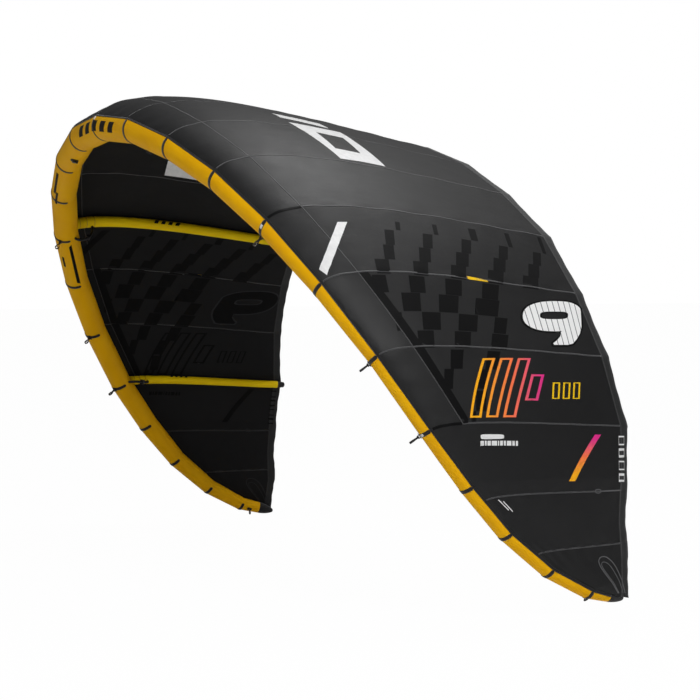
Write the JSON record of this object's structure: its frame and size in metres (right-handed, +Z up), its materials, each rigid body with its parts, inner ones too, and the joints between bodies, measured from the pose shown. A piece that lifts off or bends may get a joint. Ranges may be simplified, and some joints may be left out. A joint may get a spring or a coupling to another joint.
{
  "type": "inflatable traction kite",
  "caption": "Arc-shaped single-skin traction kite with an inflated leading edge and struts, a black sheet canopy and small hinged line loops.",
  "frame": {"origin": "centre of the leading-edge tube on the symmetry plane", "axes": "+X towards the right wing tip, +Y from the leading edge to the trailing edge, +Z up, so the tips hang down"},
  "size_m": [4.1284, 1.811, 2.2806],
  "materials": {
    "casing_yellow": "tight woven polyester, slightly glossy",
    "canopy_black": "coated ripstop, satin",
    "tape_black": "woven reinforcement tape, matt",
    "webbing_black": "tubular webbing, matt",
    "bladder_film": "clear polyurethane film",
    "hose_rubber": "smooth, matt",
    "moulded_black": "moulded, fine grain"
  },
  "bodies": {
    "kite": {"canopy_panel_left_01": "canopy_black", "canopy_panel_left_02": "canopy_black", "canopy_panel_left_03": "canopy_black", "canopy_panel_left_04": "canopy_black", "canopy_panel_left_05": "canopy_black", "canopy_panel_left_06": "canopy_black", "canopy_panel_left_07": "canopy_black", "canopy_panel_left_08": "canopy_black", "canopy_panel_left_09": "canopy_black", "canopy_panel_left_10": "canopy_black", "canopy_panel_right_01": "canopy_black", "canopy_panel_right_02": "canopy_black", "canopy_panel_right_03": "canopy_black", "canopy_panel_right_04": "canopy_black", "canopy_panel_right_05": "canopy_black", "canopy_panel_right_06": "canopy_black", "canopy_panel_right_07": "canopy_black", "canopy_panel_right_08": "canopy_black", "canopy_panel_right_09": "canopy_black", "canopy_panel_right_10": "canopy_black", "clamp_frames": "moulded_black", "deflate_valve_barrel": "moulded_black", "deflate_valve_flange": "moulded_black", "inflate_valve_barrel": "moulded_black", "inflate_valve_flange": "moulded_black", "inflation_hoses": "hose_rubber", "join_tape_left": "tape_black", "join_tape_right": "tape_black", "leading_edge_bladder": "bladder_film", "leading_edge_casing_left": "casing_yellow", "leading_edge_casing_right": "casing_yellow", "loop_tabs": "tape_black", "seam_bands": "tape_black", "strut_bladders": "bladder_film", "strut_casing_centre": "casing_yellow", "strut_casing_inner_left": "casing_yellow", "strut_casing_inner_right": "casing_yellow", "strut_casing_outer_left": "casing_yellow", "strut_casing_outer_right": "casing_yellow", "strut_end_caps": "moulded_black", "tip_wrap_left": "tape_black", "tip_wrap_right": "tape_black", "trailing_hem_left": "tape_black", "trailing_hem_right": "tape_black"},
    "jaw_centre": {"clamp_jaw_centre": "moulded_black"},
    "jaw_inner_right": {"clamp_jaw_inner_right": "moulded_black"},
    "jaw_inner_left": {"clamp_jaw_inner_left": "moulded_black"},
    "jaw_outer_right": {"clamp_jaw_outer_right": "moulded_black"},
    "jaw_outer_left": {"clamp_jaw_outer_left": "moulded_black"},
    "deflate_cap": {"deflate_valve_cap": "moulded_black"},
    "inflate_cap": {"inflate_valve_cap": "moulded_black"},
    "loop_1_right": {"line_loop_1_right": "webbing_black"},
    "loop_1_left": {"line_loop_1_left": "webbing_black"},
    "loop_2_right": {"line_loop_2_right": "webbing_black"},
    "loop_2_left": {"line_loop_2_left": "webbing_black"},
    "loop_3_right": {"line_loop_3_right": "webbing_black"},
    "loop_3_left": {"line_loop_3_left": "webbing_black"},
    "tip_loop_right": {"tip_loop_right": "webbing_black"},
    "tip_loop_left": {"tip_loop_left": "webbing_black"}
  },
  "joints": [
    {"name": "clamp_centre_hinge", "type": "hinge", "parent": "kite", "child": "jaw_centre", "pos_m": [0.0115, 0.11687, -0.04254], "axis": [0, 0.6252, 0.7804], "range_deg": [-75, 0]},
    {"name": "clamp_inner_right_hinge", "type": "hinge", "parent": "kite", "child": "jaw_inner_right", "pos_m": [1.40203, 0.36536, -0.52885], "axis": [0.4443, 0.7762, 0.4474], "range_deg": [-75, 0]},
    {"name": "clamp_inner_left_hinge", "type": "hinge", "parent": "kite", "child": "jaw_inner_left", "pos_m": [-1.40203, 0.36536, -0.52885], "axis": [0.4443, -0.7762, -0.4474], "range_deg": [-75, 0]},
    {"name": "clamp_outer_right_hinge", "type": "hinge", "parent": "kite", "child": "jaw_outer_right", "pos_m": [1.91428, 0.85512, -1.34876], "axis": [0.405, 0.9102, -0.0868], "range_deg": [-75, 0]},
    {"name": "clamp_outer_left_hinge", "type": "hinge", "parent": "kite", "child": "jaw_outer_left", "pos_m": [-1.91428, 0.85512, -1.34876], "axis": [0.405, -0.9102, 0.0868], "range_deg": [-75, 0]},
    {"name": "deflate_cap_hinge", "type": "hinge", "parent": "kite", "child": "deflate_cap", "pos_m": [0.54778, 0.0293, -0.15705], "axis": [0.9641, 0.1198, -0.2369], "range_deg": [0, 150]},
    {"name": "inflate_cap_hinge", "type": "hinge", "parent": "kite", "child": "inflate_cap", "pos_m": [-0.54778, 0.0293, -0.15705], "axis": [0.9641, -0.1198, 0.2369], "range_deg": [0, 150]},
    {"name": "loop_1_right_swing", "type": "hinge", "parent": "kite", "child": "loop_1_right", "pos_m": [1.41238, 0.21193, -0.549], "axis": [0.7286, 0.3251, -0.6029], "range_deg": [-55, 55]},
    {"name": "loop_1_left_swing", "type": "hinge", "parent": "kite", "child": "loop_1_left", "pos_m": [-1.41238, 0.21193, -0.549], "axis": [0.7286, -0.3251, 0.6029], "range_deg": [-55, 55]},
    {"name": "loop_2_right_swing", "type": "hinge", "parent": "kite", "child": "loop_2_right", "pos_m": [1.84461, 0.51905, -1.08153], "axis": [0.3792, 0.4759, -0.7935], "range_deg": [-55, 55]},
    {"name": "loop_2_left_swing", "type": "hinge", "parent": "kite", "child": "loop_2_left", "pos_m": [-1.84461, 0.51905, -1.08153], "axis": [0.3792, -0.4759, 0.7935], "range_deg": [-55, 55]},
    {"name": "loop_3_right_swing", "type": "hinge", "parent": "kite", "child": "loop_3_right", "pos_m": [1.95334, 0.70073, -1.38273], "axis": [0.1916, 0.5398, -0.8197], "range_deg": [-55, 55]},
    {"name": "loop_3_left_swing", "type": "hinge", "parent": "kite", "child": "loop_3_left", "pos_m": [-1.95334, 0.70073, -1.38273], "axis": [0.1916, -0.5398, 0.8197], "range_deg": [-55, 55]},
    {"name": "tip_loop_right_swing", "type": "hinge", "parent": "kite", "child": "tip_loop_right", "pos_m": [1.95687, 1.53245, -2.10178], "axis": [-0.0898, 0.9396, -0.3302], "range_deg": [-45, 45]},
    {"name": "tip_loop_left_swing", "type": "hinge", "parent": "kite", "child": "tip_loop_left", "pos_m": [-1.95687, 1.53245, -2.10178], "axis": [-0.0898, -0.9396, 0.3302], "range_deg": [-45, 45]}
  ]
}
